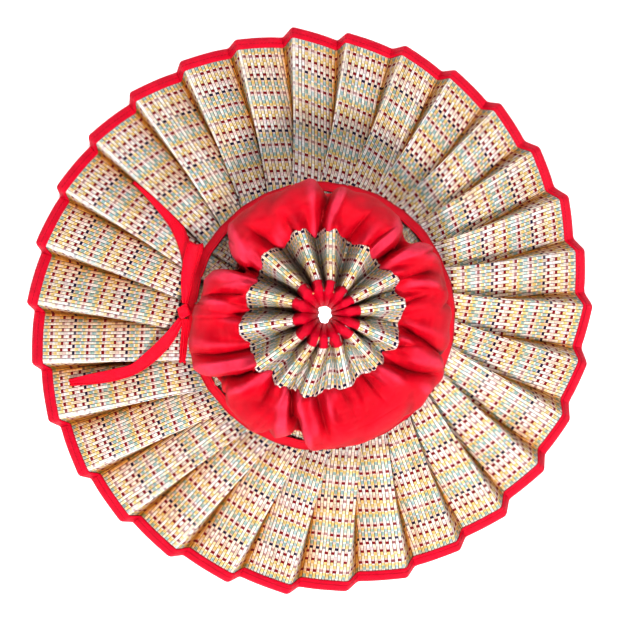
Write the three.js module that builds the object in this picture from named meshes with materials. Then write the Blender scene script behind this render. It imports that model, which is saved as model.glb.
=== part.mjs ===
// A soft sun hat made of knife-pleated woven straw and gathered red fabric, in millimetres, +Z up.
//
// The hat stands on its rim. A straw strip is pleated into a low cone, turns up into a short crown
// wall, and is bound with red tape round the rim. A gathered fabric band bulges out above the wall
// and carries a small pleated disc, whose inner edge is bound and drawn together round a small hole.
// A flat ribbon lies round the foot of the crown and is tied in a bow on the hat's left (-X) side.
// The origin is on the resting plane, under the middle of the rim's box.
import * as THREE from 'three';

// Brim and crown wall: one pleated straw strip.
const RIM_RADIUS = 205;           // mean radius of the straw's outer edge
const RIM_SCALLOP = 4.5;          // radial difference between a ridge and a valley at the rim
const PLEATS = 30;
const PLEAT_CROWDING = 3;         // degrees by which pleats crowd towards one side
const CROWDING_ANGLE = 140;       // degrees, the side of the crowding
const FIRST_PLEAT_ANGLE = 1.9;    // degrees
const FACE_START = 0.1;           // share of a pleat's pitch that is its flat valley floor
const RIDGE_START = 0.74;         // share of the pitch at which the rising face meets the ridge
const RIDGE_END = 0.8;            // share of the pitch at which the steep return begins
const TWIST = 2;                  // degrees by which the pleats turn between the rim and the crown
const STRAW = 1.2;                // thickness of the woven straw
const RIM_PLEAT = 9;              // height of a pleat at the rim
const MID_PLEAT = 11;             // height of a pleat halfway up the brim
const CROWN_PLEAT = 2.6;          // height of a pleat in the crown wall, where the folds lie flat
const CROWN_CENTRE = [8, -3];     // the crown stands off the brim's centre
const FOOT_OF_CROWN = 98.8;       // radius where the brim starts to turn up
const BRIM_RISE = 37;             // height of the brim from the rim to the foot of the crown
const TURN_IN = 5.8;              // radial size of the turn between brim and wall
const TURN_UP = 6;                // height of that turn
const WALL_HEIGHT = 30;
const WALL_LEAN = 6;              // inward lean of the wall over its height

// Tapes and ribbon.
const BINDING_WIDTH = 7;
const BINDING_CLOTH = 0.7;
const RIBBON_CLOTH = 1;
const CLEARANCE = 0.35;           // between neighbouring pieces

// Crown band and top disc.
const TOP_PLEATS = 14;
const TOP_STEPS = 4;              // columns per pleat of the top disc
const TOP_RADIUS = 58;            // mean radius of the disc's outer edge
const TOP_SCALLOP = 3;
const TOP_EDGE_HEIGHT = 36;       // from the top of the wall to the disc's outer edge
const TOP_RISE = 9;               // the disc rises this much towards its middle
const TOP_TILT = 14;              // degrees by which the disc's pleats lean outwards
const TOP_EDGE_PLEAT = 8;
const TOP_INNER_PLEAT = 14;
const PETAL_RADIUS = 24.5;        // where the disc's straw ends and the petals begin
const HOLE_RADIUS = 6.2;
const FUNNEL_DEPTH = 19;
const TOP_CLOTH = 1.4;
const PUFF_CLOTH = 1.2;
const PUFF_BULGE = 5;             // how far the band bulges beyond the top of the wall
const PUFF_LOBE = 5;              // radial difference between a lobe and a gather

// Knot.
const KNOT_ANGLE = 178;           // degrees round the crown
const KNOT_SIZE = [3.5, 5, 5];    // half sizes: outwards, along the ribbon, upwards
const KNOT_LIFT = 3.3;            // height of its middle above the turn's upper edge

// Colours.
const STRAW_COLOUR = 0xd8c8a4;
const RED = 0xd8122c;

// Heights and radii that follow from the sizes above.
const RIM_HEIGHT = RIM_PLEAT / 2 + STRAW / 2 + CLEARANCE + BINDING_CLOTH;
const CROWN_FOOT_HEIGHT = RIM_HEIGHT + BRIM_RISE;
const WALL_RADIUS = FOOT_OF_CROWN - TURN_IN;
const WALL_FOOT = CROWN_FOOT_HEIGHT + TURN_UP;
const WALL_TOP_RADIUS = WALL_RADIUS - WALL_LEAN;
const WALL_TOP = WALL_FOOT + WALL_HEIGHT;
const TOP_HEIGHT = WALL_TOP + TOP_EDGE_HEIGHT;

const rad = THREE.MathUtils.degToRad;

// A point at an angle (degrees), radius and height round the crown's own axis.
function crownPoint(angle, radius, z) {
  const x = CROWN_CENTRE[0] + radius * Math.cos(rad(angle));
  const y = CROWN_CENTRE[1] + radius * Math.sin(rad(angle));
  return new THREE.Vector3(x, y, z);
}

// A unit vector that leans outwards from +Z by a tilt in degrees, in the upright plane at an angle.
function leaning(angle, tilt) {
  const out = Math.sin(rad(tilt));
  return new THREE.Vector3(out * Math.cos(rad(angle)), out * Math.sin(rad(angle)), Math.cos(rad(tilt)));
}

// Joins sections, each a loop of points, into one closed body. The loops run counter-clockwise as
// seen by someone who looks along the sweep. A ring joins its last section to its first; any other
// sweep is capped, so its sections are convex. The second half of a loop, a sheet's lower side, cuts
// its squares along the other diagonal, so both sides of a twisted sheet are cut alike.
function sweep(sections, ring) {
  const size = sections[0].length;
  const positions = sections.flat().flatMap((p) => [p.x, p.y, p.z]);
  const faces = [];
  const spans = ring ? sections.length : sections.length - 1;
  for (let s = 0; s < spans; s += 1) {
    const here = s * size;
    const next = ((s + 1) % sections.length) * size;
    for (let i = 0; i < size; i += 1) {
      const j = (i + 1) % size;
      if (i < size / 2) {
        faces.push(here + i, next + i, next + j, here + i, next + j, here + j);
      } else {
        faces.push(here + i, next + i, here + j, next + i, next + j, here + j);
      }
    }
  }
  if (!ring) {
    const last = (sections.length - 1) * size;
    for (let i = 1; i < size - 1; i += 1) {
      faces.push(0, i, i + 1, last, last + i + 1, last + i);
    }
  }
  const geometry = new THREE.BufferGeometry();
  geometry.setAttribute('position', new THREE.Float32BufferAttribute(positions, 3));
  geometry.setIndex(faces);
  return geometry;
}

function piece(name, geometry, colour, roughness) {
  const material = new THREE.MeshStandardMaterial({ color: colour, roughness, metalness: 0 });
  const mesh = new THREE.Mesh(geometry, material);
  mesh.name = name;
  return mesh;
}

// The angle at which a brim pleat begins. Pleats crowd a little towards one side.
function pleatAngle(pleat) {
  const even = FIRST_PLEAT_ANGLE + pleat * 360 / PLEATS;
  return even - PLEAT_CROWDING * Math.cos(rad(even + 1.6 - CROWDING_ANGLE));
}

// The brim's columns: a flat valley, a wide rising face, a narrow ridge and a steep return.
function brimColumns() {
  const tooth = [[0, -0.5], [FACE_START, -0.5], [RIDGE_START, 0.5], [RIDGE_END, 0.5]];
  const columns = [];
  for (let pleat = 0; pleat < PLEATS; pleat += 1) {
    const start = pleatAngle(pleat);
    const pitch = pleatAngle(pleat + 1) - start;
    tooth.forEach(([share, lift]) => columns.push({ angle: start + share * pitch, lift }));
  }
  return columns;
}

// A point of the straw's middle surface on the rim, some way in from its edge.
function rimPoint(column, inset) {
  const radius = RIM_RADIUS + column.lift * RIM_SCALLOP - inset;
  const angle = rad(column.angle);
  return new THREE.Vector3(radius * Math.cos(angle), radius * Math.sin(angle), RIM_HEIGHT);
}

// The rows of the straw strip in one column, from the rim to the top of the crown wall. Each holds
// a point of the unpleated surface, the tilt of its normal and the height of the pleats there.
function brimRows(column) {
  const turned = column.angle + TWIST;
  const hem = rimPoint(column, BINDING_WIDTH + 1.5);
  const foot = crownPoint(turned, FOOT_OF_CROWN, CROWN_FOOT_HEIGHT);
  const halfway = crownPoint(turned, WALL_RADIUS - WALL_LEAN / 2, WALL_FOOT + WALL_HEIGHT / 2);
  const slope = THREE.MathUtils.radToDeg(Math.atan2(BRIM_RISE, RIM_RADIUS - FOOT_OF_CROWN));
  return [
    { at: rimPoint(column, 0), tilt: 0, pleat: RIM_PLEAT },
    { at: hem, tilt: 0, pleat: RIM_PLEAT },
    { at: hem.clone().lerp(foot, 0.35), tilt: slope, pleat: MID_PLEAT },
    { at: hem.clone().lerp(foot, 0.7), tilt: slope, pleat: MID_PLEAT * 0.8 },
    { at: foot, tilt: 30, pleat: CROWN_PLEAT },
    { at: crownPoint(turned, WALL_RADIUS, WALL_FOOT), tilt: 60, pleat: CROWN_PLEAT },
    { at: halfway, tilt: 79, pleat: CROWN_PLEAT },
    { at: crownPoint(turned, WALL_TOP_RADIUS, WALL_TOP), tilt: 85, pleat: CROWN_PLEAT },
  ];
}

// The section of a pleated sheet: its upper side inwards, then its lower side back out.
function sheetSection(column, rows, thickness) {
  const side = (offset) => rows.map((row) => {
    const normal = leaning(column.angle, row.tilt);
    return row.at.clone().addScaledVector(normal, column.lift * row.pleat + offset);
  });
  return [...side(thickness / 2), ...side(-thickness / 2).reverse()];
}

function brimMat() {
  const sections = brimColumns().map((column) => sheetSection(column, brimRows(column), STRAW));
  return piece('brim_mat', sweep(sections, true), STRAW_COLOUR, 0.8);
}

// The rim's tape: a channel that opens inwards and holds the straw's edge with a clearance.
function brimBinding() {
  const bore = STRAW / 2 + CLEARANCE;
  const skin = bore + BINDING_CLOTH;
  const fold = CLEARANCE + BINDING_CLOTH;
  const channel = [
    [fold, skin], [-BINDING_WIDTH, skin], [-BINDING_WIDTH, bore], [CLEARANCE, bore],
    [CLEARANCE, -bore], [-BINDING_WIDTH, -bore], [-BINDING_WIDTH, -skin], [fold, -skin],
  ];
  const sections = brimColumns().map((column) => channel.map(([out, up]) => {
    const point = rimPoint(column, -out);
    point.z += column.lift * RIM_PLEAT + up;
    return point;
  }));
  return piece('brim_binding', sweep(sections, true), RED, 0.6);
}

// The top disc's columns: even accordion pleats, which the fabric band's gathers follow.
function topColumns() {
  const columns = [];
  for (let step = 0; step < TOP_PLEATS * TOP_STEPS; step += 1) {
    const turn = step / TOP_STEPS;
    columns.push({ angle: turn * 360 / TOP_PLEATS, lift: -0.5 * Math.cos(2 * Math.PI * turn) });
  }
  return columns;
}

// A row of the top disc between its outer edge (share 0) and the petals (share 1).
function topRow(column, share) {
  const outer = TOP_RADIUS + column.lift * TOP_SCALLOP;
  const radius = THREE.MathUtils.lerp(outer, PETAL_RADIUS, share);
  return {
    at: crownPoint(column.angle, radius, TOP_HEIGHT + TOP_RISE * share),
    tilt: share > 0 ? TOP_TILT : 0,
    pleat: THREE.MathUtils.lerp(TOP_EDGE_PLEAT, TOP_INNER_PLEAT, share),
  };
}

function crownTopMat() {
  const rows = (column) => [0, 0.35, 0.7, 1].map((share) => topRow(column, share));
  const sections = topColumns().map((column) => sheetSection(column, rows(column), STRAW));
  return piece('crown_top_mat', sweep(sections, true), STRAW_COLOUR, 0.8);
}

// The petals: the bound pleat ends, which fold over and run down into a funnel round the hole.
function crownTopBinding() {
  const rim = TOP_HEIGHT + TOP_RISE;
  const rows = (column) => [
    [PETAL_RADIUS - CLEARANCE, 0, 14, TOP_INNER_PLEAT],
    [THREE.MathUtils.lerp(HOLE_RADIUS, PETAL_RADIUS, 0.6), 0.2, -10, TOP_INNER_PLEAT * 0.85],
    [THREE.MathUtils.lerp(HOLE_RADIUS, PETAL_RADIUS, 0.28), 5, -45, TOP_INNER_PLEAT * 0.5],
    [THREE.MathUtils.lerp(HOLE_RADIUS, PETAL_RADIUS, 0.07), FUNNEL_DEPTH * 0.62, -75, 2.5],
    [HOLE_RADIUS, FUNNEL_DEPTH, -88, 0.5],
  ].map(([radius, drop, tilt, pleat]) => ({ at: crownPoint(column.angle, radius, rim - drop), tilt, pleat }));
  const sections = topColumns().map((column) => sheetSection(column, rows(column), TOP_CLOTH));
  return piece('crown_top_binding', sweep(sections, true), RED, 0.6);
}

// The fabric band's middle line in one column, from the top of the wall out and over to the disc.
function puffLine(column) {
  const start = WALL_TOP + CLEARANCE + PUFF_CLOTH / 2 + 0.2;
  const height = TOP_HEIGHT - start;
  const out = WALL_TOP_RADIUS + PUFF_BULGE;
  const lobe = column.lift * PUFF_LOBE;
  const inner = topRow(column, 0);
  const join = TOP_RADIUS + column.lift * TOP_SCALLOP + CLEARANCE;
  return [
    [WALL_TOP_RADIUS, start],
    [WALL_TOP_RADIUS + PUFF_BULGE * 0.6 + lobe * 0.6, start + height * 0.08],
    [out + lobe, start + height * 0.34],
    [out - PUFF_BULGE * 0.7 + lobe, start + height * 0.66],
    [THREE.MathUtils.lerp(join, out, 0.5) + lobe * 0.6, start + height * 0.88 + column.lift * 5],
    [join, inner.at.z + column.lift * TOP_EDGE_PLEAT],
  ];
}

// The band is one cloth thick: its outer side runs up and over, then its inner side runs back.
function crownPuff() {
  const sections = topColumns().map((column) => {
    const line = puffLine(column).map(([radius, z]) => new THREE.Vector2(radius, z));
    const side = (offset) => line.map((point, i) => {
      const last = i === line.length - 1;
      const before = last ? new THREE.Vector2(point.x + 1, point.y) : line[Math.max(i - 1, 0)];
      const after = last ? point : line[i + 1];
      const along = after.clone().sub(before).normalize();
      return crownPoint(column.angle, point.x + along.y * offset, point.y - along.x * offset);
    });
    return [...side(PUFF_CLOTH / 2), ...side(-PUFF_CLOTH / 2).reverse()];
  });
  return piece('crown_puff', sweep(sections, true), RED, 0.6);
}

// The ribbon round the foot of the crown, laid over the turn between brim and wall. It is open at
// the knot.
function tieBand() {
  const gap = THREE.MathUtils.radToDeg((KNOT_SIZE[1] + CLEARANCE) / WALL_RADIUS);
  const inside = CROWN_PLEAT / 2 + STRAW / 2 + CLEARANCE;
  const steps = 72;
  const sections = [];
  for (let step = 0; step <= steps; step += 1) {
    const angle = KNOT_ANGLE + gap + (360 - 2 * gap) * step / steps;
    const corner = (radius, z, tilt, offset) => {
      return crownPoint(angle, radius, z).addScaledVector(leaning(angle, tilt), offset);
    };
    sections.push([
      corner(FOOT_OF_CROWN, CROWN_FOOT_HEIGHT, 30, inside + RIBBON_CLOTH),
      corner(WALL_RADIUS, WALL_FOOT, 60, inside + RIBBON_CLOTH),
      corner(WALL_RADIUS, WALL_FOOT, 60, inside),
      corner(FOOT_OF_CROWN, CROWN_FOOT_HEIGHT, 30, inside),
    ]);
  }
  return piece('tie_band', sweep(sections, false), RED, 0.5);
}

function tieKnot() {
  const geometry = new THREE.SphereGeometry(1, 16, 10);
  geometry.scale(...KNOT_SIZE);
  const knot = piece('tie_knot', geometry, RED, 0.5);
  const out = WALL_RADIUS + CROWN_PLEAT / 2 + STRAW / 2 + CLEARANCE + KNOT_SIZE[0];
  knot.position.copy(crownPoint(KNOT_ANGLE, out, WALL_FOOT + KNOT_LIFT));
  knot.rotation.z = rad(KNOT_ANGLE);
  return knot;
}

// A flat ribbon along a route. Each stop is [x, y, z, half width, tilt], measured from the -X side
// of the crown at the foot of its wall. The ribbon's width points along a level heading, in degrees,
// that turns evenly between its two ends, and the tilt in degrees leans it up from the level.
function ribbon(name, route, headings, steps) {
  const start = new THREE.Vector3(CROWN_CENTRE[0] - WALL_RADIUS, CROWN_CENTRE[1], WALL_FOOT);
  const curve = new THREE.CatmullRomCurve3(route.map(([x, y, z]) => new THREE.Vector3(x, y, z).add(start)));
  const sections = [];
  for (let step = 0; step <= steps; step += 1) {
    const share = step / steps;
    const place = share * (route.length - 1);
    const stop = Math.min(Math.floor(place), route.length - 2);
    const between = (i) => THREE.MathUtils.lerp(route[stop][i], route[stop + 1][i], place - stop);
    const middle = curve.getPoint(share);
    const along = curve.getTangent(share);
    const heading = THREE.MathUtils.lerp(...headings, share);
    const width = leaning(heading, 90 - between(4));
    width.addScaledVector(along, -width.dot(along)).normalize();
    const up = width.clone().cross(along);
    const corner = (w, u) => middle.clone().addScaledVector(width, w * between(3)).addScaledVector(up, u);
    const half = RIBBON_CLOTH / 2;
    sections.push([corner(1, -half), corner(1, half), corner(-1, half), corner(-1, -half)]);
  }
  return piece(name, sweep(sections, false), RED, 0.5);
}

// The upper loop lies flat: out along the crown, over, and back above itself.
function tieLoopUpper() {
  const route = [
    [-5, 8.9, 4.05, 2.4, 0],
    [-3.5, 23, 5.65, 3.4, 0],
    [0, 38, 6.05, 4.2, 0],
    [3.5, 49, 6.25, 4.4, 0],
    [3, 52, 8.45, 4.4, 0],
    [0.7, 49, 10.85, 4.4, 0],
    [-1.8, 38, 11.65, 4.4, 0],
    [-4.3, 23, 10.65, 4, 0],
    [-5.2, 9.2, 7.45, 2.4, 0],
  ];
  return ribbon('tie_loop_upper', route, [170, 170], 32);
}

// The lower loop stands on its edge, beside the crown.
function tieLoopLower() {
  const route = [
    [-3.6, -2.2, 4.45, 2.2, 85],
    [-4.2, -17, 3.45, 3.4, 85],
    [-5, -30, 2.15, 4.2, 85],
    [-6.3, -32.6, 1.65, 4.2, 85],
    [-7.6, -30, 1.65, 4.2, 85],
    [-7, -17, 3.05, 3.4, 85],
    [-6.2, -2.2, 4.25, 2.2, 85],
  ];
  return ribbon('tie_loop_lower', route, [180, 180], 28);
}

function tieTailUpper() {
  const route = [
    [-6.5, 9.2, 0.45, 2, -10],
    [-3.8, 20, 2.75, 3, -10],
    [-3, 32, 1.85, 3.8, -15],
    [-5, 45.5, -3.55, 4.2, -15],
    [-9, 58.5, -8.55, 4.6, -5],
    [-16, 71.2, -15.95, 4.6, 5],
    [-29, 86.3, -22.75, 4, 5],
    [-43.7, 99.5, -30.95, 2, 5],
  ];
  return ribbon('tie_tail_upper', route, [185, 227], 40);
}

function tieTailLower() {
  const route = [
    [-8.2, -2.4, 0.25, 2, -10],
    [-18.1, -16.7, -3.65, 4, -10],
    [-33.3, -31.6, -13.15, 4.6, -5],
    [-44.4, -40.4, -18.35, 4.2, 5],
    [-61.4, -43.7, -24.75, 4.2, 5],
    [-78.8, -47, -31.35, 3.4, 5],
    [-92, -49.2, -36.95, 2, 5],
  ];
  return ribbon('tie_tail_lower', route, [145, 99], 36);
}

// All the pieces, moved so that the rim's box stands over the origin.
function strawHat() {
  const hat = new THREE.Group();
  hat.add(brimMat(), brimBinding(), crownTopMat(), crownTopBinding(), crownPuff(), tieBand(), tieKnot());
  hat.add(tieLoopUpper(), tieLoopLower(), tieTailUpper(), tieTailLower());
  const middle = new THREE.Box3().setFromObject(hat, true).getCenter(new THREE.Vector3());
  hat.position.set(-middle.x, -middle.y, 0);
  return hat;
}

const hat = strawHat();

export default hat;
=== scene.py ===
"""A soft sun hat of knife-pleated woven straw and gathered red cotton, as a Blender add-on.

Every length is in metres, in the frame's own axes: the hat stands on its rim at Z = 0, its crown
rises along +Z and its bow is on the -X side.
"""
import math

import bpy
import numpy as np
from bpy.props import FloatProperty, FloatVectorProperty, IntProperty, PointerProperty
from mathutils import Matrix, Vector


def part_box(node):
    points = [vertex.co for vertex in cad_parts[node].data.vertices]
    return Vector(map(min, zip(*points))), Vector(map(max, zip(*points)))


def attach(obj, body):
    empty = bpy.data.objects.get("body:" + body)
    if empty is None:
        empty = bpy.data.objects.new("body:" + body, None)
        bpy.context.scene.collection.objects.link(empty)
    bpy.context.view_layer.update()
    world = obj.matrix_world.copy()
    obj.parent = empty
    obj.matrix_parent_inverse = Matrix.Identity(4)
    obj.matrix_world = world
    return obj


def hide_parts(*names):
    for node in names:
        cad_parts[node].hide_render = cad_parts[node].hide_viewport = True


bl_info = {
    "name": "Pleated straw sun hat",
    "version": (1, 0, 0),
    "blender": (4, 5, 0),
    "location": "3D View > Sidebar > Hat",
    "description": "Builds a pleated straw sun hat with a gathered crown and a ribbon bow",
    "category": "Object",
}

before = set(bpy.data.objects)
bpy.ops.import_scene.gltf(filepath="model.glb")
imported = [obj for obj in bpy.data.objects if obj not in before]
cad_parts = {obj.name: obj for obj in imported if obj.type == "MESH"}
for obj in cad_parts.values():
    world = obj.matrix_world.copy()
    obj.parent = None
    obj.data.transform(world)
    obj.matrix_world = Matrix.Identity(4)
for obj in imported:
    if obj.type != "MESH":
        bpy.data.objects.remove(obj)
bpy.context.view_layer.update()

BRIM_CENTRE = (-0.00010, -0.00025)
CROWN_CENTRE = (0.00790, -0.00325)
TOP_CENTRE = (0.00870, -0.00294)
PETAL_CENTRE = (0.01070, -0.00210)

# Ridges of the crown's top disc: angle at the outer edge, angle at the petals, both in degrees, and
# how far out the tip reaches.
TOP_RIDGES = (
    (8, 6, 0.0602), (28, 28, 0.0607), (57, 50, 0.0590), (84, 75, 0.0629), (105, 99, 0.0635),
    (133, 125, 0.0606), (162, 154, 0.0560), (189, 193, 0.0603), (218, 224, 0.0609), (240, 253, 0.0598),
    (258, 276, 0.0609), (289, 299, 0.0545), (318, 326, 0.0555), (340, 344, 0.0581),
)

# Outline of the crown's gathered band: angle in degrees and radius in millimetres round the disc's
# centre. It is drawn in at six gathers.
PUFF_OUTLINE = (
    (0, 91.5), (20, 92), (33, 90.5), (41.5, 79), (48, 84), (58, 92), (70, 92.5), (82, 91), (88, 88.5),
    (94, 96), (105, 95.5), (117, 94), (128, 93.5), (136, 91), (143, 81), (150.5, 67), (154, 79.5),
    (163, 85.5), (173, 89), (186, 94), (195, 98), (203, 97), (212.5, 87), (220, 89.5), (231, 95),
    (241, 95.5), (250, 91), (258.5, 82.5), (264, 94.5), (281, 96), (299, 94), (313, 95), (325, 96),
    (334, 95), (343, 92), (352, 91),
)

# Creases in that fabric: angle at the disc's seam and at the outline, depth in units of CREASE_UNIT,
# half width in degrees, and where the crease starts and ends on the way from the seam to the wall.
PUFF_CREASES = (
    (44, 41, 12, 5.5, 0.00, 0.95), (91, 87, 9, 4.5, 0.00, 0.85), (146, 151, 13, 6.0, 0.05, 1.00),
    (221, 211, 9, 5.0, 0.00, 0.95), (247, 259, 11, 4.5, 0.00, 1.00), (352, 341, 6, 5.0, 0.10, 0.85),
    (108, 116, 4.0, 4.0, 0.00, 0.42), (72, 61, 4.5, 5.0, 0.00, 0.50), (124, 133, 4.0, 5.0, 0.00, 0.52),
    (163, 172, 4.5, 3.5, 0.10, 0.62), (180, 176, 5.0, 3.5, 0.00, 0.70), (206, 196, 6.0, 4.5, 0.00, 0.72),
    (232, 238, 4.0, 4.5, 0.00, 0.40), (266, 276, 5.5, 4.5, 0.00, 0.55), (284, 294, 3.0, 5.5, 0.00, 0.40),
    (304, 309, 3.5, 5.0, 0.00, 0.42), (322, 334, 6.0, 5.0, 0.00, 0.70), (337, 352, 3.5, 4.5, 0.00, 0.40),
    (8, 15, 3.5, 5.0, 0.00, 0.45), (26, 20, 4.5, 4.5, 0.00, 0.55), (57, 48, 4.0, 4.0, 0.05, 0.55),
    (34, 30, 4.0, 3.5, 0.40, 0.95), (206, 219, 4.0, 3.5, 0.45, 0.95), (250, 245, 4.0, 4.0, 0.45, 1.00),
    (140, 141, 4.0, 3.5, 0.35, 1.00), (318, 324, 3.0, 4.5, 0.55, 1.00), (356, 6, 4.0, 4.5, 0.45, 1.00),
)
CREASE_UNIT = 0.00125


# ---------------------------------------------------------------------------------------- meshes

def from_srgb(red, green, blue):
    """The linear colour of an 8-bit screen colour."""
    shares = (red / 255, green / 255, blue / 255)
    return tuple(((share + 0.055) / 1.055) ** 2.4 if share > 0.04 else share / 12.92 for share in shares)


def smooth(low, high, value):
    """Rises from 0 at low to 1 at high along an S curve."""
    share = np.clip((value - low) / (high - low), 0, 1)
    return share * share * (3 - 2 * share)


def turned(angle, centre):
    """How far angles in degrees lie from another, from -180 to 180."""
    return (angle - centre + 180) % 360 - 180


def ripple(angle, counts, seed):
    """A closed random wave: one sine per whole number of waves, each with its own phase, added up and
    divided by the square root of their number."""
    phases = np.random.default_rng(seed).uniform(0, 2 * math.pi, len(counts))
    waves = (np.sin(count * angle + phase) for count, phase in zip(counts, phases))
    return sum(waves) / math.sqrt(len(counts))


def around(centre, angle, radius, height):
    """Points at angles in radians and radii round an upright axis."""
    angle, radius, height = np.broadcast_arrays(angle, radius, height)
    return np.stack([centre[0] + radius * np.cos(angle), centre[1] + radius * np.sin(angle), height], -1)


def spline(stops, count):
    """A smooth line through evenly numbered stops, whose slope at a stop is half the step between
    its two neighbours. Every column of a stop is carried along."""
    stops = np.asarray(stops, float)
    slopes = np.gradient(stops, axis=0)
    place = np.linspace(0, len(stops) - 1, count)
    low = np.minimum(place.astype(int), len(stops) - 2)
    t = (place - low)[:, None]
    here, there = stops[low], stops[low + 1]
    return (here * (1 + 2 * t) * (1 - t) ** 2 + there * t * t * (3 - 2 * t)
            + slopes[low] * t * (1 - t) ** 2 - slopes[low + 1] * t * t * (1 - t))


def grid_mesh(name, points, left, right, surface, thickness=0.0, offset=-1.0, valley=None):
    """A piece from a grid of points (rows, columns, 3). left and right are the cloth coordinates of
    each square's first and second column; with one for every column the grid closes on itself.
    Squares face along (column step) x (row step). valley weighs the painted shade (above 0, in a
    fold) and the painted highlight (below 0) at each point."""
    rows, columns = points.shape[:2]
    closed = left.shape[1] == columns
    spans = columns if closed else columns - 1
    row, column = np.meshgrid(np.arange(rows - 1) * columns, np.arange(spans), indexing="ij")
    after = (column + 1) % columns
    faces = np.stack([row + column, row + after, row + columns + after, row + columns + column], -1)
    corners = np.stack([left[:-1, :spans], right[:-1, :spans], right[1:, :spans], left[1:, :spans]], -2)
    mesh = bpy.data.meshes.new(name)
    mesh.from_pydata(points.reshape(-1, 3).tolist(), [], faces.reshape(-1, 4).tolist())
    layer = mesh.uv_layers.new(name="cloth")
    layer.data.foreach_set("uv", corners.astype(np.float32).ravel())
    if valley is not None:
        depth = np.broadcast_to(valley, (rows, columns)).astype(np.float32)
        mesh.attributes.new("valley", "FLOAT", "POINT").data.foreach_set("value", depth.ravel())
    mesh.shade_smooth()
    mesh.materials.append(surface)
    piece = bpy.data.objects.new(name, mesh)
    bpy.context.scene.collection.objects.link(piece)
    if thickness:
        wall = piece.modifiers.new("Cloth thickness", "SOLIDIFY")
        wall.thickness = thickness
        wall.offset = offset
    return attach(piece, "root")


def spread(points):
    """Cloth coordinates of an open grid: metres along the columns, and metres along the rows."""
    along = np.linalg.norm(np.diff(points, axis=1), axis=2)
    along = np.concatenate([np.zeros((len(points), 1)), np.cumsum(along, axis=1)], 1)
    down = np.linalg.norm(np.diff(points, axis=0), axis=2)
    down = np.concatenate([np.zeros((1, points.shape[1])), np.cumsum(down, axis=0)], 0)
    coords = np.stack([along, down], -1)
    return coords[:, :-1], coords[:, 1:]


def spread_ring(points):
    """Cloth coordinates of a grid that closes on itself, as spread gives them."""
    return spread(np.concatenate([points, points[:, :1]], 1))


PLEAT_START = 0.1327


def spread_pleats(points, pleats, ridge):
    """Cloth coordinates of a pleated ring. Across, metres along the folded strip from each pleat's
    ridge column, so the reeds run beside the ridge; down, metres from the strip's edge. Each pleat
    counts from PLEAT_START metres after the last one's ridge, so no two show the same reeds."""
    rows, columns = points.shape[:2]
    each = columns // pleats
    own = (np.arange(pleats)[:, None] * each + np.arange(each + 1)) % columns
    steps = np.linalg.norm(np.diff(points[:, own], axis=2), axis=3)
    across = np.concatenate([np.zeros((rows, pleats, 1)), np.cumsum(steps, axis=2)], 2)
    across = across - across[:, :, ridge:ridge + 1] + PLEAT_START * np.arange(1, pleats + 1)[None, :, None]
    down = np.linalg.norm(np.diff(points, axis=0), axis=2)
    down = np.concatenate([np.zeros((1, columns)), np.cumsum(down, axis=0)], 0)[:, own]
    coords = np.stack([across, down], -1)
    return coords[:, :, :-1].reshape(rows, columns, 2), coords[:, :, 1:].reshape(rows, columns, 2)


def fold_weights(places, lengths, rounding):
    """Weights (columns, corners) that put columns on the sides between a ring's corners. A column at
    place 3.25 is a quarter of the way from corner 3 to corner 4. Each is the mean of five points up
    to rounding metres either side of it along the strip, so that the creases come out rounded."""
    count = len(lengths)
    knots = np.concatenate([[0], np.cumsum(lengths)])
    along = np.interp(places, np.arange(count + 1), knots)
    weights = np.zeros((len(places), count))
    for step in (-1, -0.5, 0, 0.5, 1):
        place = np.interp((along + step * rounding) % knots[-1], knots, np.arange(count + 1))
        low = np.minimum(place.astype(int), count - 1)
        np.add.at(weights, (np.arange(len(places)), low), (1 - place + low) / 5)
        np.add.at(weights, (np.arange(len(places)), (low + 1) % count), (place - low) / 5)
    return weights


def fold(corners, normals, weights, belly):
    """Points of a pleated sheet: its corners, spread over the columns by weight, and lifted along the
    sheet's mean normal by each column's belly."""
    points = np.einsum("cp,rpd->rcd", weights, corners)
    lift = np.einsum("cp,rpd->rcd", weights, normals)
    return points + lift * belly[..., None]


def grid_normals(points):
    """Unit normals of a grid that closes on itself."""
    across = np.roll(points, -1, axis=1) - np.roll(points, 1, axis=1)
    normals = np.cross(across, np.gradient(points, axis=0))
    return normals / np.linalg.norm(normals, axis=2, keepdims=True)


# ------------------------------------------------------------------------------------- materials

class Number:
    """One shader value. Python's arithmetic on it adds Math nodes."""

    def __init__(self, paint, socket):
        self.paint = paint
        self.socket = socket

    def _math(self, operation, first, second=0.0):
        node = self.paint.node("ShaderNodeMath", {"operation": operation}, {0: first, 1: second})
        return self.paint.out(node)

    def __add__(self, other):
        return self._math("ADD", self, other)

    __radd__ = __add__

    def __sub__(self, other):
        return self._math("SUBTRACT", self, other)

    def __rsub__(self, other):
        return self._math("SUBTRACT", other, self)

    def __mul__(self, other):
        return self._math("MULTIPLY", self, other)

    __rmul__ = __mul__

    def __truediv__(self, other):
        return self._math("DIVIDE", self, other)

    def __rtruediv__(self, other):
        return self._math("DIVIDE", other, self)

    def __pow__(self, other):
        return self._math("POWER", self, other)

    def __mod__(self, other):
        return self._math("FLOORED_MODULO", self, other)

    def __abs__(self):
        return self._math("ABSOLUTE", self)

    def floor(self):
        return self._math("FLOOR", self)

    def fraction(self):
        return self._math("FRACT", self)

    def sine(self):
        return self._math("SINE", self)

    def at_least(self, other):
        return self._math("MAXIMUM", self, other)

    def rise(self, low, high):
        """0 below low, 1 above high and an S curve between."""
        smoothly = {"interpolation_type": "SMOOTHSTEP"}
        return self.paint.out(self.paint.node("ShaderNodeMapRange", smoothly, {0: self, 1: low, 2: high}))


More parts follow.
